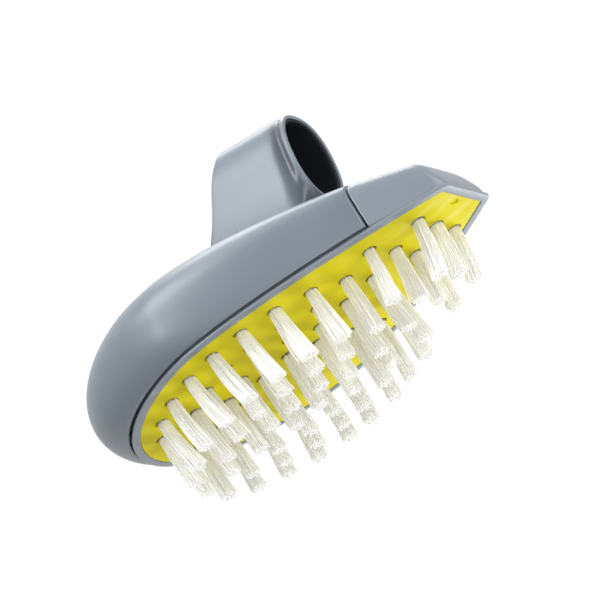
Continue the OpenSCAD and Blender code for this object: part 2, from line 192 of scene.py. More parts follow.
def newGroup(name, inputs, outputs):
    tree = bpy.data.node_groups.new(name, "ShaderNodeTree")
    for label, kind, value in inputs:
        tree.interface.new_socket(label, in_out="INPUT", socket_type=kind).default_value = value
    for label, kind in outputs:
        tree.interface.new_socket(label, in_out="OUTPUT", socket_type=kind)
    return tree, tree.nodes.new("NodeGroupInput"), tree.nodes.new("NodeGroupOutput")


def combine(tree, operation, a, b):
    made = tree.nodes.new("ShaderNodeMath")
    made.operation = operation
    for socket, value in zip(made.inputs, (a, b)):
        if isinstance(value, (int, float)):
            socket.default_value = value
        else:
            tree.links.new(value, socket)
    return made.outputs[0]


def ramp(tree, source, low, high):
    made = addNode(tree, "ShaderNodeMapRange", clamp=True)
    for key, value in (("From Min", low), ("From Max", high)):
        if isinstance(value, (int, float)):
            made.inputs[key].default_value = value
        else:
            tree.links.new(value, made.inputs[key])
    tree.links.new(source, made.inputs["Value"])
    return made.outputs["Result"]


def mixColour(tree, factor, a, b, blend="MIX"):
    made = tree.nodes.new("ShaderNodeMix")
    made.data_type = "RGBA"
    made.blend_type = blend
    for socket, value in zip((made.inputs[0], made.inputs[6], made.inputs[7]), (factor, a, b)):
        if isinstance(value, (int, float, tuple)):
            socket.default_value = value
        else:
            tree.links.new(value, socket)
    return made.outputs[2]


def noise(tree, vector, scale, detail=2.0, stretch=None, turn=(0, 0, 0)):
    if stretch:
        mapping = tree.nodes.new("ShaderNodeMapping")
        mapping.inputs["Scale"].default_value = stretch
        mapping.inputs["Rotation"].default_value = turn
        tree.links.new(vector, mapping.inputs["Vector"])
        vector = mapping.outputs["Vector"]
    made = tree.nodes.new("ShaderNodeTexNoise")
    made.inputs["Detail"].default_value = detail
    if isinstance(scale, (int, float)):
        made.inputs["Scale"].default_value = scale
    else:
        tree.links.new(scale, made.inputs["Scale"])
    tree.links.new(vector, made.inputs["Vector"])
    return made.outputs["Fac"]


# relief and marks shared by all moulded pieces, and a painted highlight along their convex edges
surface = {"grainDetail": 3.0, "patchScale": 55.0, "patchRange": (0.3, 0.7), "areaScale": 42.0,
           "areaRange": (0.5, 0.68), "longStretch": (70, 900, 900), "longTurn": (0.4, 0.3, 0.6),
           "longRange": (0.66, 0.74), "crossStretch": (1100, 60, 800), "crossTurn": (0.2, -0.5, 0.3),
           "crossRange": (0.68, 0.75), "edgeHighlightRange": (0.52, 0.6), "grainRough": 0.12, "scuffRough": 0.2,
           "scuffDepth": 0.6, "bumpDistance": 0.00004}


def mouldedGroup():
    tree, given, out = newGroup(
        "mouldedPlastic",
        [("Colour", "NodeSocketColor", (0.5, 0.5, 0.5, 1)),
         ("Patch Colour", "NodeSocketColor", (0.5, 0.5, 0.5, 1)),
         ("Scuff And Edge Highlight Colour", "NodeSocketColor", (0.7, 0.7, 0.7, 1)),
         ("Grain Scale", "NodeSocketFloat", 4000.0), ("Grain", "NodeSocketFloat", 0.5),
         ("Scuffs", "NodeSocketFloat", 0.3), ("Painted Edge Highlight", "NodeSocketFloat", 0.0),
         ("Roughness", "NodeSocketFloat", 0.4)],
        [("Colour", "NodeSocketColor"), ("Roughness", "NodeSocketFloat"), ("Height", "NodeSocketFloat")])
    place = tree.nodes.new("ShaderNodeTexCoord").outputs["Object"]
    grain = noise(tree, place, given.outputs["Grain Scale"], surface["grainDetail"])
    patches = ramp(tree, noise(tree, place, surface["patchScale"]), *surface["patchRange"])
    longMarks = noise(tree, place, 1.0, 3.0, surface["longStretch"], surface["longTurn"])
    crossMarks = noise(tree, place, 1.0, 3.0, surface["crossStretch"], surface["crossTurn"])
    where = ramp(tree, noise(tree, place, surface["areaScale"], 1.0), *surface["areaRange"])
    marks = combine(tree, "MAXIMUM", ramp(tree, longMarks, *surface["longRange"]),
                    ramp(tree, crossMarks, *surface["crossRange"]))
    scuffs = combine(tree, "MULTIPLY", combine(tree, "MULTIPLY", marks, where), given.outputs["Scuffs"])
    colour = mixColour(tree, patches, given.outputs["Colour"], given.outputs["Patch Colour"])
    colour = mixColour(tree, scuffs, colour, given.outputs["Scuff And Edge Highlight Colour"])
    # painted highlight: convex edges are mixed towards the scuff colour, standing for the thin bright lines
    # that light draws along edges
    sharpness = tree.nodes.new("ShaderNodeNewGeometry").outputs["Pointiness"]
    edges = ramp(tree, sharpness, *surface["edgeHighlightRange"])         # paler along convex edges
    edges = combine(tree, "MULTIPLY", edges, given.outputs["Painted Edge Highlight"])
    colour = mixColour(tree, edges, colour, given.outputs["Scuff And Edge Highlight Colour"])
    speck = combine(tree, "MULTIPLY", combine(tree, "SUBTRACT", grain, 0.5), surface["grainRough"])
    rough = combine(tree, "ADD", given.outputs["Roughness"], speck)
    rough = combine(tree, "ADD", rough, combine(tree, "MULTIPLY", scuffs, surface["scuffRough"]))
    height = combine(tree, "SUBTRACT", combine(tree, "MULTIPLY", grain, given.outputs["Grain"]),
                     combine(tree, "MULTIPLY", scuffs, surface["scuffDepth"]))
    tree.links.new(colour, out.inputs["Colour"])
    tree.links.new(rough, out.inputs["Roughness"])
    tree.links.new(height, out.inputs["Height"])
    return tree


def objectPlace(tree):
    place = tree.nodes.new("ShaderNodeTexCoord").outputs["Object"]
    split = tree.nodes.new("ShaderNodeSeparateXYZ")
    tree.links.new(place, split.inputs[0])
    return place, split.outputs


def newMaterial(name):
    material = bpy.data.materials.new(name)
    material.use_nodes = True
    tree = material.node_tree
    return material, tree, tree.nodes["Principled BSDF"]


def bumpFrom(tree, height, distance, strength, shader):
    bump = tree.nodes.new("ShaderNodeBump")
    bump.inputs["Strength"].default_value = strength
    bump.inputs["Distance"].default_value = distance
    tree.links.new(height, bump.inputs["Height"])
    tree.links.new(bump.outputs["Normal"], shader.inputs["Normal"])


def mouldedMaterial(name, values, group):
    material, tree, shader = newMaterial(name)
    use = tree.nodes.new("ShaderNodeGroup")
    use.node_tree = group
    for socket in use.inputs:
        socket.default_value = values[socket.name]
    tree.links.new(use.outputs["Colour"], shader.inputs["Base Color"])
    tree.links.new(use.outputs["Roughness"], shader.inputs["Roughness"])
    shader.inputs["Specular IOR Level"].default_value = values["Specular"]
    bumpFrom(tree, use.outputs["Height"], surface["bumpDistance"], values["Bump"], shader)
    return material, tree, shader, use


# the edge setting of each finish is the strength of the painted highlight along convex edges
finish = {
    "body": {"Colour": (0.138, 0.17, 0.203, 1), "Patch Colour": (0.148, 0.181, 0.214, 1),
             "Scuff And Edge Highlight Colour": (0.25, 0.28, 0.31, 1), "Grain Scale": 4200.0, "Grain": 0.5, "Scuffs": 0.35,
             "Painted Edge Highlight": 0.9, "Roughness": 0.37, "Specular": 0.5, "Bump": 0.25},
    "frame": {"Colour": (0.196, 0.229, 0.27, 1), "Patch Colour": (0.207, 0.24, 0.28, 1),
              "Scuff And Edge Highlight Colour": (0.3, 0.33, 0.36, 1), "Grain Scale": 4200.0, "Grain": 0.5, "Scuffs": 0.25,
              "Painted Edge Highlight": 0.9, "Roughness": 0.38, "Specular": 0.5, "Bump": 0.25},
    "plate": {"Colour": (0.7, 0.61, 0.003, 1), "Patch Colour": (0.74, 0.655, 0.006, 1),
              "Scuff And Edge Highlight Colour": (0.78, 0.71, 0.12, 1), "Grain Scale": 2600.0, "Grain": 0.4, "Scuffs": 0.2,
              "Painted Edge Highlight": 0.0, "Roughness": 0.42, "Specular": 0.08, "Bump": 0.2},
    "liner": {"Colour": (0.004, 0.005, 0.008, 1), "Patch Colour": (0.006, 0.007, 0.011, 1),
              "Scuff And Edge Highlight Colour": (0.03, 0.034, 0.045, 1), "Grain Scale": 3000.0, "Grain": 0.8, "Scuffs": 0.2,
              "Painted Edge Highlight": 0.0, "Roughness": 0.6, "Specular": 0.2, "Bump": 0.5},
}
moulded = mouldedGroup()
bodyPlastic = mouldedMaterial("bodyPlastic", finish["body"], moulded)[0]
framePlastic = mouldedMaterial("framePlastic", finish["frame"], moulded)[0]
linerRubber = mouldedMaterial("linerRubber", finish["liner"], moulded)[0]


# paler flow lines that fan out over the plate near the nose; lengths in materials are metres
flowLines = {"along": (0.034, 0.054), "stretch": (60, 330, 200), "turn": (0, 0, 0.5),
             "range": (0.5, 0.72), "strength": 0.4, "colour": (0.78, 0.73, 0.32, 1)}


def plateMaterial():
    material, tree, shader, use = mouldedMaterial("platePlastic", finish["plate"], moulded)
    place, axes = objectPlace(tree)
    nearTip = ramp(tree, axes["X"], *flowLines["along"])
    flow = noise(tree, place, 1.0, 2.0, flowLines["stretch"], flowLines["turn"])
    flow = ramp(tree, flow, *flowLines["range"])
    pale = combine(tree, "MULTIPLY", combine(tree, "MULTIPLY", nearTip, flow), flowLines["strength"])
    colour = mixColour(tree, pale, use.outputs["Colour"], flowLines["colour"])
    tree.links.new(colour, shader.inputs["Base Color"])
    shader.inputs["Subsurface Weight"].default_value = 0.08
    shader.inputs["Subsurface Radius"].default_value = (1.0, 0.8, 0.2)
    shader.inputs["Subsurface Scale"].default_value = 0.0012
    return material


# painted shade: a darker band in the hollow behind the loop's lip, whose edge leans forward going up
paintedLipShade = {"lean": 0.118, "edge": 0.0242, "fade": (0.0062, 0.0024), "start": (0.0002, 0.0012),
           "strength": 0.8, "colour": (0.03, 0.04, 0.052, 1)}


def loopMaterial():
    material, tree, shader, use = mouldedMaterial("loopPlastic", finish["body"], moulded)
    axes = objectPlace(tree)[1]
    edge = combine(tree, "ADD", combine(tree, "MULTIPLY", axes["Z"], paintedLipShade["lean"]), paintedLipShade["edge"])
    behind = combine(tree, "SUBTRACT", edge, axes["X"])
    fade, start = ramp(tree, behind, *paintedLipShade["fade"]), ramp(tree, behind, *paintedLipShade["start"])
    # painted shade mixed into the colour behind the lip
    band = combine(tree, "MULTIPLY", combine(tree, "MULTIPLY", fade, start), paintedLipShade["strength"])
    colour = mixColour(tree, band, use.outputs["Colour"], paintedLipShade["colour"])
    tree.links.new(colour, shader.inputs["Base Color"])
    return material


# nylon of the bristles; the glow is painted light, an emission standing for light that travels along inside
# the filaments
nylon = {"root": (0.9, 0.885, 0.77, 1), "tip": (0.95, 0.945, 0.9, 1), "pale": (0.97, 0.968, 0.95, 1),
         "holeShade": (0.2, 0.16, 0.02, 1), "glow": (1.0, 0.98, 0.92, 1), "glowStrength": 0.07,
         "tipRange": (0.016, 0.002), "holeShadeRange": (0.0157, 0.0164), "single": (2600, 2600, 120),
         "singleRange": (0.35, 0.65), "roughness": 0.28, "roughSpread": 0.2, "streaks": (5000, 5000, 600)}


def nylonMaterial():
    material, tree, shader = newMaterial("bristleNylon")
    place, axes = objectPlace(tree)
    single = noise(tree, place, 1.0, 1.0, nylon["single"])       # tone changes from filament to filament
    # painted shade: darker and yellower towards the roots, paler towards the tips
    colour = mixColour(tree, ramp(tree, axes["Z"], *nylon["tipRange"]), nylon["root"], nylon["tip"])
    colour = mixColour(tree, ramp(tree, single, *nylon["singleRange"]), colour, nylon["pale"])
    # painted shade down in the holes
    holeShade = ramp(tree, axes["Z"], *nylon["holeShadeRange"])          # dark where the tuft is down in its hole
    colour = mixColour(tree, holeShade, colour, nylon["holeShade"])
    tree.links.new(colour, shader.inputs["Base Color"])
    # painted light: the filaments glow outside the holes
    paintedGlow = mixColour(tree, holeShade, nylon["glow"], (0, 0, 0, 1))
    tree.links.new(paintedGlow, shader.inputs["Emission Color"])
    rough = combine(tree, "ADD", combine(tree, "MULTIPLY", single, nylon["roughSpread"]), nylon["roughness"])
    tree.links.new(rough, shader.inputs["Roughness"])
    shader.inputs["Subsurface Weight"].default_value = 0.5
    shader.inputs["Subsurface Radius"].default_value = (1.0, 1.0, 0.85)
    shader.inputs["Subsurface Scale"].default_value = 0.0008
    shader.inputs["Emission Strength"].default_value = nylon["glowStrength"]
    bumpFrom(tree, noise(tree, place, 1.0, 2.0, nylon["streaks"]), 0.00002, 0.3, shader)
    return material


# name, colour and roughness of the metals, for the two nodes that keep their shape from the solids
metals = {"tuft_anchors": ("anchorWire", (0.72, 0.6, 0.36, 1), 0.28),
          "cover_screws": ("screwSteel", (0.62, 0.62, 0.63, 1), 0.24)}


def metalMaterial(name, colour, roughness):
    material, tree, shader = newMaterial(name)
    place = tree.nodes.new("ShaderNodeTexCoord").outputs["Object"]
    drawn = noise(tree, place, 1.0, 3.0, (900, 900, 9000))
    dulled = tuple(c * 0.72 for c in colour[:3]) + (1,)
    tree.links.new(mixColour(tree, drawn, dulled, colour), shader.inputs["Base Color"])
    rough = combine(tree, "ADD", combine(tree, "MULTIPLY", drawn, 0.15), roughness)
    tree.links.new(rough, shader.inputs["Roughness"])
    shader.inputs["Metallic"].default_value = 1.0
    bumpFrom(tree, drawn, 0.00002, 0.3, shader)
    return material


platePlastic = plateMaterial()
bristleNylon = nylonMaterial()
for nodeName, values in metals.items():
    metal = metalMaterial(*values)
    for slot in cadNodes[nodeName].material_slots:
        slot.material = metal
print("materials made")

# grip cover: rows run from the seam round the rear end and back, columns climb to the crest
cover = {"bottom": 17.1, "skirt": 2.75, "bulge": 6.8, "bulgeEnd": 82.0, "bulgeFade": 1.25, "partHigh": 27.0,
         "partLow": 21.3, "crest": 44.7, "crestFront": 30.6, "humpAt": 31.8, "seamAt": 90.6, "sideRound": 2.4,
         "rearRound": 2.02, "seamRound": 5.0, "underPower": 1.6, "wall": 2.2, "edgeRadius": 0.35,
         "lip": ((1.3, 19.6), (2.2, 19.6), (2.28, 17.6), (2.36, 17.28), (2.5, 17.13)), "thinnest": 1.25,
         "lipThinnest": 1.2, "partOut": 2.6, "lowSteps": 14, "topSteps": 34, "sideRows": 70, "rearRows": 80}


def bulge(x):
    return cover["bulge"] * max(0.0, 1 - max(0.0, x) / cover["bulgeEnd"]) ** cover["bulgeFade"]


def partZ(x):
    return mix(cover["partLow"], cover["partHigh"],
               smooth((cover["seamAt"] - x) / (cover["seamAt"] - plan["widestAt"])))


def crestZ(x):
    t = max(0.0, (x - cover["humpAt"]) / (cover["seamAt"] - cover["humpAt"]))
    return cover["crest"] - (cover["crest"] - cover["crestFront"]) * t ** plan["sidePower"]


def roundness(x):
    if x > cover["humpAt"]:
        t = (x - cover["humpAt"]) / (cover["seamAt"] - cover["humpAt"])
        return mix(cover["sideRound"], cover["seamRound"], t ** 2)
    return mix(cover["sideRound"], cover["rearRound"], ((cover["humpAt"] - x) / cover["humpAt"]) ** 2)


def partOffset(x, inset):
    return max(cover["thinnest"], cover["partOut"] + bulge(x) - inset)


def coverColumn(s, inset):
    x = planEdge(s, cover["seamAt"], 0)[0]
    lowSteps, topSteps = cover["lowSteps"], cover["topSteps"]
    column = []
    for d, z in cover["lip"]:
        px, py = planEdge(s, cover["seamAt"], max(cover["lipThinnest"], d - inset))
        column.append((px, py, z))
    for k in range(lowSteps + 1):
        a = math.pi / 2 * k / lowSteps
        low = max(cover["thinnest"], cover["skirt"] - inset)
        d = mix(low, partOffset(x, inset), math.sin(a) ** cover["underPower"])
        px, py = planEdge(s, cover["seamAt"], d)
        column.append((px, py, mix(cover["bottom"], partZ(x), 1 - math.cos(a))))
    px, py = planEdge(s, cover["seamAt"], partOffset(x, inset))
    overX = max(cover["humpAt"], x)
    n = roundness(x)
    for k in range(1, topSteps + 1):
        a = math.pi / 2 * k / topSteps
        c, t = max(0.0, math.cos(a)) ** (2 / n), math.sin(a) ** (2 / n)
        y = py * c if k < topSteps else 0.0
        column.append((mix(overX, px, c), y, mix(partZ(x), crestZ(overX) - inset, t)))
    return column


def coverZ(x, y, inset=0.0):
    reach = sideEdge(x, partOffset(x, inset))[1]
    n = roundness(x)
    return mix(partZ(x), crestZ(x) - inset, max(0.0, 1 - (abs(y) / reach) ** n) ** (1 / n))


def buildCover():
    r, span = cover["edgeRadius"], cover["seamAt"] - plan["widestAt"]
    stations = [(0.0, cover["wall"])]
    for k in range(6):                                           # rounded edge along the seam
        a = math.pi / 2 * k / 5
        stations.append((0.5 * r * (1 - math.cos(a)) / span, r * (1 - math.sin(a))))
    sideRows, rearRows = cover["sideRows"], cover["rearRows"]
    first = stations[-1][0]
    stations += [(mix(first, 0.5, k / sideRows), 0.0) for k in range(1, sideRows + 1)]
    stations += [(mix(0.5, 1.0, k / rearRows), 0.0) for k in range(1, rearRows + 1)]
    nearSide = [coverColumn(s, inset) for s, inset in stations]
    rows = [[(x, -y, z) for x, y, z in column] for column in nearSide] + nearSide[-2::-1]
    return meshFrom(*skin(rows, closeRound=False))


addPiece("gripCover", buildCover(), bodyPlastic, "grip_cover")
print("grip cover built")

# base frame: rim and deck swept round the plan, with the nose block in front
rim = {"profile": ((0.1, 16.2), (0.1, 15.9), (0.16, 15.82), (0.3, 15.8), (1.75, 15.8), (1.95, 15.86),
                   (2.08, 16.02), (2.1, 16.2), (2.1, 16.42), (2.04, 16.58), (1.9, 16.65), (0.95, 16.65)),
       "wall": (0.95, 0.1), "wallTop": 20.8, "wallTopFront": 17.2, "deckOut": 0.95, "deckFront": 92.5,
       "deck": (20.5, 23.1), "deckSteps": 90}
nose = {"start": 91.0, "sideIn": 1.75, "bottom": 16.5, "frontX": 108.05, "cornerRadius": 2.2,
        "voxel": 0.0003, "soften": 5, "squareness": 5.0, "partLow": 17.6, "inset": 0.3, "leastRise": 0.3,
        "edge": 0.4, "steps": 24,
        "top": ((91.0, 30.6), (103.4, 26.35), (104.3, 25.9), (105.0, 25.1), (105.7, 23.9), (106.4, 22.3),
                (107.0, 20.8), (107.5, 19.4), (107.8, 18.2), (108.0, 17.0))}


def hullMesh(points, name):
    bm = bmesh.new()
    for p in points:
        bm.verts.new(toRow(p))
    made = bmesh.ops.convex_hull(bm, input=bm.verts)
    spare = [g for g in made["geom_interior"] + made["geom_unused"] if isinstance(g, bmesh.types.BMVert)]
    bmesh.ops.delete(bm, geom=list(set(spare)), context="VERTS")
    bmesh.ops.recalc_face_normals(bm, faces=bm.faces)
    mesh = bpy.data.meshes.new(name)
    bm.to_mesh(mesh)
    bm.free()
    return mesh


def noseHalfWidth(x):
    r = nose["cornerRadius"]
    start = nose["frontX"] - r
    if x <= start:
        return sideEdge(x, nose["sideIn"])[1]
    return sideEdge(x, nose["sideIn"])[1] - r * (1 - math.sqrt(max(0.0, 1 - ((x - start) / r) ** 2)))


def buildNose():
    overPart = len(cover["lip"]) + cover["lowSteps"]
    section = [(y, z) for x, y, z in coverColumn(0.0, nose["inset"])[overPart:]]
    steps = nose["steps"]
    points = []
    for y, z in section + [(section[0][0], cover["bottom"])]:
        points += [(nose["start"], y, z), (nose["start"], -y, z)]
    for x, top in nose["top"][1:]:
        half = noseHalfWidth(x)
        part = mix(cover["partLow"], nose["partLow"], (x - nose["start"]) / (nose["frontX"] - nose["start"]))
        part = min(part, top - nose["leastRise"])
        for k in range(steps + 1):
            a, n = math.pi / 2 * k / steps, 2 / nose["squareness"]
            y, z = half * max(0.0, math.cos(a)) ** n, mix(part, top, math.sin(a) ** n)
            points += [(x, y, z), (x, -y, z)]
    for k in range(steps + 1):
        x = mix(nose["start"], nose["frontX"], 1 - (1 - k / steps) ** 2)
        for z in (nose["bottom"], nose["bottom"] + nose["edge"]):
            points += [(x, noseHalfWidth(x), z), (x, -noseHalfWidth(x), z)]
    return withModifiers(hullMesh(points, "noseHull"), (
        ("REMESH", {"mode": "VOXEL", "voxel_size": nose["voxel"]}),
        ("SMOOTH", {"factor": 0.5, "iterations": nose["soften"]})))


def buildFrame():
    rings = [[(x, y, z) for x, y in outline(d)] for d, z in rim["profile"]]
    for d in rim["wall"]:                                        # the pocket's wall is low under the nose
        rings.append([(x, y, mix(rim["wallTop"], rim["wallTopFront"], smooth((x - nose["start"]) / 2)))
                      for x, y in outline(d)])
    steps = rim["deckSteps"]
    side = [planEdge(k / steps, rim["deckFront"], rim["deckOut"]) for k in range(steps + 1)]
    edge = [(x, -y) for x, y in side] + [(x, y) for x, y in reversed(side[:-1])]
    slab = [[(x, y, z) for x, y in edge] for z in rim["deck"]]
    points, faces = skin(slab)
    faces += [tuple(range(len(edge))), tuple(range(len(edge), 2 * len(edge)))]
    rimMesh = meshFrom(*skin(rings, closeAcross=True))
    return joined((rimMesh, meshFrom(points, faces), buildNose()), "baseFrame")


addPiece("baseFrame", buildFrame(), framePlastic, "base_frame", 40)
print("base frame built")

# tuft places, ring by ring as in the solid model; the two front rows sit off the middle,
# and the lean of a tuft changes along the plate and across it
tufts = {"ringX": 41.1, "ringLength": 70.4, "ringWidth": 53.2, "pitch": 9.4, "counts": (21, 15, 9),
         "fourAt": 86.2, "fourPitch": 8.77, "fourSide": 1.9, "fourBow": 1.7,
         "threeAt": 96.1, "threePitch": 7.84, "threeSide": 2.4,
         "rootRadius": 1.3, "tipRadius": 2.12, "filaments": 92, "filamentRadius": 0.155, "rootZ": 18.4,
         "sides": 5, "levels": 6, "turnStep": 2.39996, "spread": (0.92, 1.05), "thickness": (0.9, 1.1),
         "ragged": 0.8, "wave": 0.3, "strays": 0.04, "strayReach": (1.15, 1.5), "uneven": 0.25,
         "leanForward": 1.4, "leanAlong": -0.8, "leanAcross": -3.8, "leanOut": 2.6, "leanOutMore": 2.2,
         "rowLean": {"tufts_front": (0.3, -2.9), "tufts_nose": (-0.7, -4.3)},
         "leanMiddle": 50, "leanFull": 12, "leanSpread": 0.45, "bow": 0.5, "shift": (-0.12, 0.28),
         "cutShort": {"tufts_front": 1.1, "tufts_nose": 0.6}}


def ringPlaces(k):
    count = tufts["counts"][k]
    length = tufts["ringLength"] - 2 * k * tufts["pitch"]
    width = tufts["ringWidth"] - 2 * k * tufts["pitch"]
    places = []
    for i in range(count):
        t = 2 * math.pi * (i + 0.5) / count
        a = t + 0.5 * (length - width) / (length + width) * math.sin(2 * t)
        places.append((tufts["ringX"] - length / 2 * math.cos(a), width / 2 * math.sin(a)))
    return places


tuftPlaces = {
    "tufts_outer": ringPlaces(0), "tufts_middle": ringPlaces(1), "tufts_inner": ringPlaces(2),
    "tufts_centre": [(tufts["ringX"] + k * tufts["pitch"] / 2, 0.0) for k in (-1, 1)],
    "tufts_front": [(tufts["fourAt"] - (tufts["fourBow"] if abs(k) > 1 else 0),
                     tufts["fourSide"] + k * tufts["fourPitch"]) for k in (-1.5, -0.5, 0.5, 1.5)],
    "tufts_nose": [(tufts["threeAt"], tufts["threeSide"] + k * tufts["threePitch"]) for k in (-1, 0, 1)],
}

# bristle plate: a filled curve with the holes in it, on a solid back; a plug makes the gate's dimple
plate = {"face": 16.0, "back": 20.5, "holeDepth": 3.3, "holeRadius": 1.87, "holeSides": 40, "bevel": 0.1,
         "overlap": 0.1, "backBevel": 0.05, "gateAt": (104.0, -0.6), "gateSize": (1.0, 1.45),
         "gateDepth": 0.4, "gateSides": 28, "plugOver": 0.15, "plugBevel": 0.1}


def ovalPoints(x, y, rx, ry, count):
    return [(x + rx * math.cos(2 * math.pi * k / count), y + ry * math.sin(2 * math.pi * k / count))
            for k in range(count)]


def filledCurve(loops, thickness, bevel, middleZ):
    curve = bpy.data.curves.new("flat", "CURVE")
    curve.dimensions = "2D"
    curve.fill_mode = "BOTH"
    for loop in loops:
        spline = curve.splines.new("POLY")
        spline.points.add(len(loop) - 1)
        spline.use_cyclic_u = True
        for point, (x, y) in zip(spline.points, loop):
            point.co = (*toRow((x, y, 0)), 1)
    curve.bevel_depth = bevel / 1000
    curve.bevel_resolution = 3
    curve.offset = -bevel / 1000
    curve.extrude = (thickness / 2 - bevel) / 1000
    obj = bpy.data.objects.new("flat", curve)
    bpy.context.scene.collection.objects.link(obj)
    obj.location.z = middleZ / 1000
    bpy.context.view_layer.update()
    mesh = bpy.data.meshes.new_from_object(obj.evaluated_get(bpy.context.evaluated_depsgraph_get()))
    mesh.transform(obj.matrix_world)
    bpy.data.objects.remove(obj)
    return mesh


def buildPlate():
    places = [p for group in tuftPlaces.values() for p in group]
    radius, depth, over = plate["holeRadius"], plate["holeDepth"], plate["plugOver"]
    holes = [ovalPoints(x, y, radius, radius, plate["holeSides"]) for x, y in places]
    gate = ovalPoints(*plate["gateAt"], *plate["gateSize"], plate["gateSides"])
    front = filledCurve([outline(0)] + holes + [gate], depth, plate["bevel"], plate["face"] + depth / 2)
    backZ = plate["face"] + depth - plate["overlap"]
    back = filledCurve([outline(0)], plate["back"] - backZ, plate["backBevel"], (plate["back"] + backZ) / 2)
    wide, long = plate["gateSize"]
    oval = ovalPoints(*plate["gateAt"], wide + over, long + over, plate["gateSides"])
    plug = filledCurve([oval], depth - plate["gateDepth"], plate["plugBevel"],
                       plate["face"] + (depth + plate["gateDepth"]) / 2)
    return joined((front, back, plug), "bristlePlate")


addPiece("bristlePlate", buildPlate(), platePlastic, "bristle_plate", 35)
print("bristle plate built")

# finger loop: a tapering oval tube whose feet spread onto the cover
loop = {"width": 15.2, "wall": 1.3, "liner": 0.7, "front": 78.4, "footLength": 30.6, "slant": 12.6,
        "lean": 2.6, "floor": (40.0, 46.6), "crown": (62.0, 67.6), "squareness": 2.25, "footSpread": 3.4,
        "sink": 0.15, "lip": 4.0, "around": 112, "lipWall": 0.6, "lipTaper": 0.42, "taperLength": 2.2,
        "cove": (0.35, 1.1), "coveAt": 2.7, "coveWidth": 1.7, "coveFade": 0.6,
        "easeFrom": 0.85, "easeTo": 1.1, "ease": 1.6, "easeSlope": 0.8, "rearIn": 0.7,
        "lipStations": (0.0, 0.3, 0.6, 1.0, 1.5, 2.0, 2.5, 3.0, 3.5, 4.0, 4.6, 5.3, 6.2, 7.2, 8.4)}
# liner inside the loop: ends measured from the lip and from the rear edge
liner = {"start": 0.55, "endShort": 1.2, "roundOut": 0.3, "steps": 24}


def loopFloor(a):
    return mix(*loop["floor"], a)


def loopCrown(a):
    return mix(*loop["crown"], a)


def loopX(a, z):
    t = max(0.0, (z - loopFloor(a)) / (loopCrown(a) - loopFloor(a)))
    start, end = loop["easeFrom"], loop["easeTo"]
    if t > start:                                                # the slanted rear edge eases over the crown
        t = t - loop["ease"] * (min(t, end) - start) ** 2 - max(0.0, t - end) * loop["easeSlope"]
    return mix(loop["front"] + loop["lean"] * t, loop["front"] - loop["footLength"] + loop["slant"] * t, a)


def ovalPoint(t, a, grow):
    c, s, n = math.cos(t), math.sin(t), 2 / loop["squareness"]
    half = (loopCrown(a) - loopFloor(a)) / 2
    y = (loop["width"] / 2 + grow) * math.copysign(abs(s) ** n, s)
    z = loopFloor(a) + half + (half + grow) * math.copysign(abs(c) ** n, c)
    return loopX(a, z), y, z


def footPoint(t, a, grow):
    x = loopX(a, 0)
    wide = loop["width"] / 2 + grow
    u = (t - math.pi / 2) / (math.pi / 2)                        # 0 at the side, 1 under the middle
    if u <= 0.5:
        u *= 2
        z = mix((loopFloor(a) + loopCrown(a)) / 2, coverZ(x, wide + loop["footSpread"]) - loop["sink"], u)
        return loopX(a, z), wide + loop["footSpread"] * u * u, z
    y = (wide + loop["footSpread"]) * (1 - u) * 2
    return x, y, coverZ(x, y) - loop["sink"]


def outerPoint(q, a, grow):
    count = loop["around"]
    m = q if q <= count / 2 else count - q
    t = 2 * math.pi * m / count
    p = ovalPoint(t, a, grow)
    if t > math.pi / 2:
        k = smooth(a * loop["footLength"] / loop["lip"])
        p = tuple(mix(u, v, k) for u, v in zip(p, footPoint(t, a, grow)))
    return p[0], p[1] if q <= count / 2 else -p[1], p[2]


def coveDepth(q):
    t = min(q, loop["around"] - q) / loop["around"] * 2          # 0 at the crown, 1 under the middle
    return mix(*loop["cove"], smooth(t / loop["coveFade"]))


def loopRings():
    outerGrow, innerGrow = loop["liner"] + loop["wall"], loop["liner"]
    lipRadius = loop["lipWall"] / 2
    along = list(loop["lipStations"])
    along += [mix(loop["lipStations"][-1], loop["footLength"] - loop["rearIn"], k / 26) for k in range(1, 27)]
    rings = []
    for s in reversed(along):                                    # outside, from the rear to the lip
        a = s / loop["footLength"]
        taper = loop["lipTaper"] * (1 - smooth(s / loop["taperLength"]))
        dip = math.exp(-((s - loop["coveAt"]) / loop["coveWidth"]) ** 2)
        rings.append([outerPoint(q, a, outerGrow - max(taper, dip * coveDepth(q)))
                      for q in range(loop["around"])])
    for k in range(1, 8):                                        # rounded front lip
        turn = math.pi * k / 8
        grow = mix(outerGrow - loop["lipTaper"], innerGrow, (1 - math.cos(turn)) / 2)
        ring = [ovalPoint(2 * math.pi * q / loop["around"], 0.0, grow) for q in range(loop["around"])]
        rings.append([(x + lipRadius * math.sin(turn), y, z) for x, y, z in ring])
    for s in along:                                              # inside, back to the rear
        rings.append([ovalPoint(2 * math.pi * q / loop["around"], s / loop["footLength"], innerGrow)
                      for q in range(loop["around"])])
    for k in range(1, 8):                                        # rounded rear edge
        turn = math.pi * k / 8
        inner = [ovalPoint(2 * math.pi * q / loop["around"], 1.0, innerGrow) for q in range(loop["around"])]
        outer = [outerPoint(q, 1.0, outerGrow) for q in range(loop["around"])]
        t = (1 - math.cos(turn)) / 2
        back = loop["rearIn"] * (1 - math.sin(turn))
        rings.append([(mix(i[0], o[0], t) + back, mix(i[1], o[1], t), mix(i[2], o[2], t))
                      for i, o in zip(inner, outer)])
    return rings


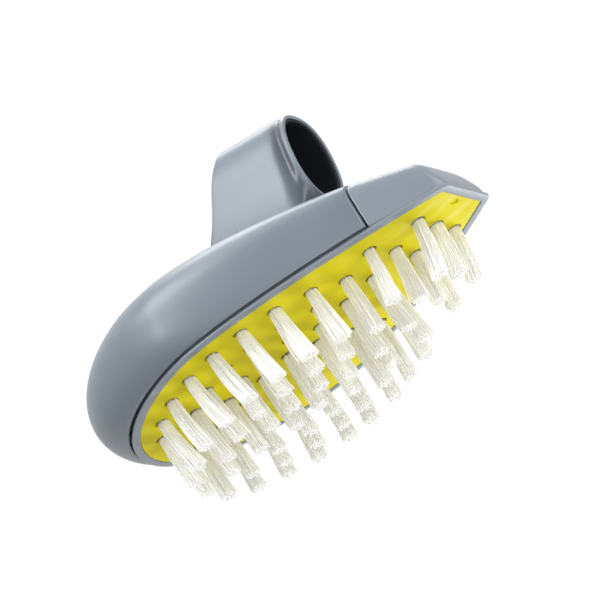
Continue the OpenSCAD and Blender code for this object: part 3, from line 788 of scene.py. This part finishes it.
def linerRings():
    start, end, steps = liner["start"], loop["footLength"] - liner["endShort"], liner["steps"]
    inner, outer, bow = 0.0, loop["liner"], liner["roundOut"]
    rings = []
    for k in range(5):
        turn = math.pi * k / 4
        rings.append((start - bow * math.sin(turn), mix(outer, inner, (1 - math.cos(turn)) / 2)))
    rings += [(mix(start, end, k / steps), inner) for k in range(1, steps + 1)]
    for k in range(1, 5):
        turn = math.pi * k / 4
        rings.append((end + bow * math.sin(turn), mix(inner, outer, (1 - math.cos(turn)) / 2)))
    rings += [(mix(end, start, k / steps), outer) for k in range(1, steps)]
    return [[ovalPoint(2 * math.pi * q / loop["around"], s / loop["footLength"], grow)
             for q in range(loop["around"])] for s, grow in rings]


loopMesh = meshFrom(*skin(loopRings(), closeAcross=True))
addPiece("fingerLoop", loopMesh, loopMaterial(), "finger_loop")
linerMesh = meshFrom(*skin(linerRings(), closeAcross=True))
addPiece("loopLiner", linerMesh, linerRubber, "loop_liner")
print("finger loop and liner built")


# tufts: every filament is a closed thin tube from the hole to its ragged tip
def tuftLean(place, nodeName):
    if nodeName in tufts["rowLean"]:
        return tufts["rowLean"][nodeName]
    along, across = (place[0] - tufts["leanMiddle"]) / tufts["leanMiddle"], place[1] / plan["halfWidth"]
    outward = max(-1.0, min(1.0, place[1] / tufts["leanFull"]))
    return (tufts["leanForward"] + tufts["leanAlong"] * along + tufts["leanAcross"] * across,
            (tufts["leanOut"] + tufts["leanOutMore"] * along) * outward)


def filament(rng, k, place, lean, shortness, points, faces):
    count = tufts["filaments"]
    turn = k * tufts["turnStep"] + rng.uniform(-0.25, 0.25)      # sunflower pattern, so that no gap shows
    reach = math.sqrt((k + rng.uniform(0.2, 0.8)) / count)
    spread = tufts["tipRadius"] * rng.uniform(*tufts["spread"])
    if rng.random() < tufts["strays"]:
        spread *= rng.uniform(*tufts["strayReach"])
    bend, bendTurn = tufts["wave"] * rng.random(), rng.uniform(0, 2 * math.pi)
    tipZ = shortness + tufts["ragged"] * rng.random() ** 1.8
    radius = tufts["filamentRadius"] * rng.uniform(*tufts["thickness"])
    sides, levels, base = tufts["sides"], tufts["levels"], len(points)
    rootX, rootY = place[0] + tufts["shift"][0], place[1] + tufts["shift"][1]
    for level in range(levels):
        t = level / (levels - 1)
        r = mix(tufts["rootRadius"], spread, t) * reach
        sway = bend * math.sin(math.pi * t)
        tilt = t + tufts["bow"] * t * (t - 1)
        x = rootX + lean[0] * tilt + r * math.cos(turn) + sway * math.cos(bendTurn)
        y = rootY + lean[1] * tilt + r * math.sin(turn) + sway * math.sin(bendTurn)
        z = mix(tufts["rootZ"], tipZ, t)
        for i in range(sides):
            a = 2 * math.pi * i / sides + turn
            points.append((x + radius * math.cos(a), y + radius * math.sin(a), z))
    for level in range(levels - 1):
        for i in range(sides):
            j = (i + 1) % sides
            a, b = base + level * sides, base + (level + 1) * sides
            faces.append((a + i, b + i, b + j, a + j))
    faces.append(tuple(range(base, base + sides)))
    faces.append(tuple(reversed(range(base + (levels - 1) * sides, base + levels * sides))))


def buildTufts(places, nodeName, seed):
    rng = random.Random(seed)
    points, faces = [], []
    for place in places:
        lean = tuple(v + rng.uniform(-1, 1) * tufts["leanSpread"] for v in tuftLean(place, nodeName))
        shortness = tufts["cutShort"].get(nodeName, 0.0) + rng.uniform(0, tufts["uneven"])
        for k in range(tufts["filaments"]):
            filament(rng, k, place, lean, shortness, points, faces)
    mesh = bpy.data.meshes.new("tufts")
    mesh.from_pydata([toRow(p) for p in points], [], faces)
    return mesh


pieceNames = {"tufts_outer": "tuftsOuter", "tufts_middle": "tuftsMiddle", "tufts_inner": "tuftsInner",
              "tufts_centre": "tuftsCentre", "tufts_front": "tuftsFront", "tufts_nose": "tuftsNose"}
for seed, (nodeName, places) in enumerate(tuftPlaces.items()):
    tuftMesh = buildTufts(places, nodeName, seed + 3)
    addPiece(pieceNames[nodeName], tuftMesh, bristleNylon, nodeName, 50)
print("tufts built")

# studio: pale floor seen from above only, white surroundings that cast no light, and soft lamps;
# a lamp has its name, the direction it stands in, its level, and its size and distance in metres
studio = {
    "floorSize": 1.2, "worldLight": 0.0, "floorColour": (0.86, 0.86, 0.86, 1), "lampTarget": (0, 0, 0.03),
    "lamps": (
        ("eyeLamp", (0.42, -0.8, -0.43), 0.42, 0.6, 0.8),
        ("lowFarLamp", (0.1, 0.75, -0.65), 0.88, 0.6, 0.8),
        ("lowRearLamp", (-0.6, 0.1, -0.8), 0.2, 0.6, 0.8),
        ("lowRightLamp", (0.75, -0.1, -0.65), 0.34, 0.6, 0.8),
        ("rightLamp", (0.95, -0.1, 0.3), 0.6, 0.6, 0.8),
        ("shineLamp", (-0.3, -0.93, 0.2), 0.32, 0.24, 0.8),
        ("topLamp", (0.0, 0.3, 0.95), 0.5, 0.8, 1.2),
        ("nearLamp", (-0.2, -0.75, 0.63), 0.66, 0.14, 0.24),
        ("overLamp", (0.05, -0.5, 0.86), 0.22, 0.14, 0.24))}


def addFloor():
    h = studio["floorSize"] / 2
    mesh = bpy.data.meshes.new("floor")
    mesh.from_pydata([(-h, -h, 0), (h, -h, 0), (h, h, 0), (-h, h, 0)], [], [(0, 1, 2, 3)])
    material = bpy.data.materials.new("paleFloor")
    material.use_nodes = True
    tree = material.node_tree
    tree.nodes.clear()
    paths, side = tree.nodes.new("ShaderNodeLightPath"), tree.nodes.new("ShaderNodeNewGeometry")
    above = combine(tree, "SUBTRACT", 1.0, side.outputs["Backfacing"])
    shown = combine(tree, "MULTIPLY", paths.outputs["Is Camera Ray"], above)
    pale = tree.nodes.new("ShaderNodeBsdfDiffuse")
    pale.inputs["Color"].default_value = studio["floorColour"]
    clear, mixed = tree.nodes.new("ShaderNodeBsdfTransparent"), tree.nodes.new("ShaderNodeMixShader")
    out = tree.nodes.new("ShaderNodeOutputMaterial")
    tree.links.new(shown, mixed.inputs[0])
    tree.links.new(clear.outputs[0], mixed.inputs[1])
    tree.links.new(pale.outputs[0], mixed.inputs[2])
    tree.links.new(mixed.outputs[0], out.inputs["Surface"])
    mesh.materials.append(material)
    floor = bpy.data.objects.new("floor", mesh)
    bpy.context.scene.collection.objects.link(floor)


def addWorld():
    world = bpy.data.worlds.new("studio")
    world.use_nodes = True
    tree = world.node_tree
    background = tree.nodes["Background"]
    background.inputs["Color"].default_value = (1, 1, 1, 1)
    paths = tree.nodes.new("ShaderNodeLightPath")
    seen = combine(tree, "MAXIMUM", paths.outputs["Is Camera Ray"], paths.outputs["Is Glossy Ray"])
    seen = combine(tree, "MAXIMUM", seen, paths.outputs["Is Transmission Ray"])
    strength = addNode(tree, "ShaderNodeMapRange")
    strength.inputs["To Min"].default_value = studio["worldLight"]
    strength.inputs["To Max"].default_value = 1.0
    tree.links.new(seen, strength.inputs["Value"])
    tree.links.new(strength.outputs["Result"], background.inputs["Strength"])
    bpy.context.scene.world = world


def addLamps():
    target = Vector(studio["lampTarget"])
    for name, direction, level, size, distance in studio["lamps"]:
        light = bpy.data.lights.new(name, "AREA")
        light.shape = "DISK"
        light.size = size
        light.energy = level * (math.pi * distance) ** 2
        obj = bpy.data.objects.new(name, light)
        away = Vector(direction).normalized()
        obj.location = target + away * distance
        obj.rotation_mode = "QUATERNION"
        obj.rotation_quaternion = away.to_track_quat("Z", "Y")
        bpy.context.scene.collection.objects.link(obj)


addFloor()
addWorld()
addLamps()
bpy.context.scene.view_settings.view_transform = "Standard"
print("studio set")
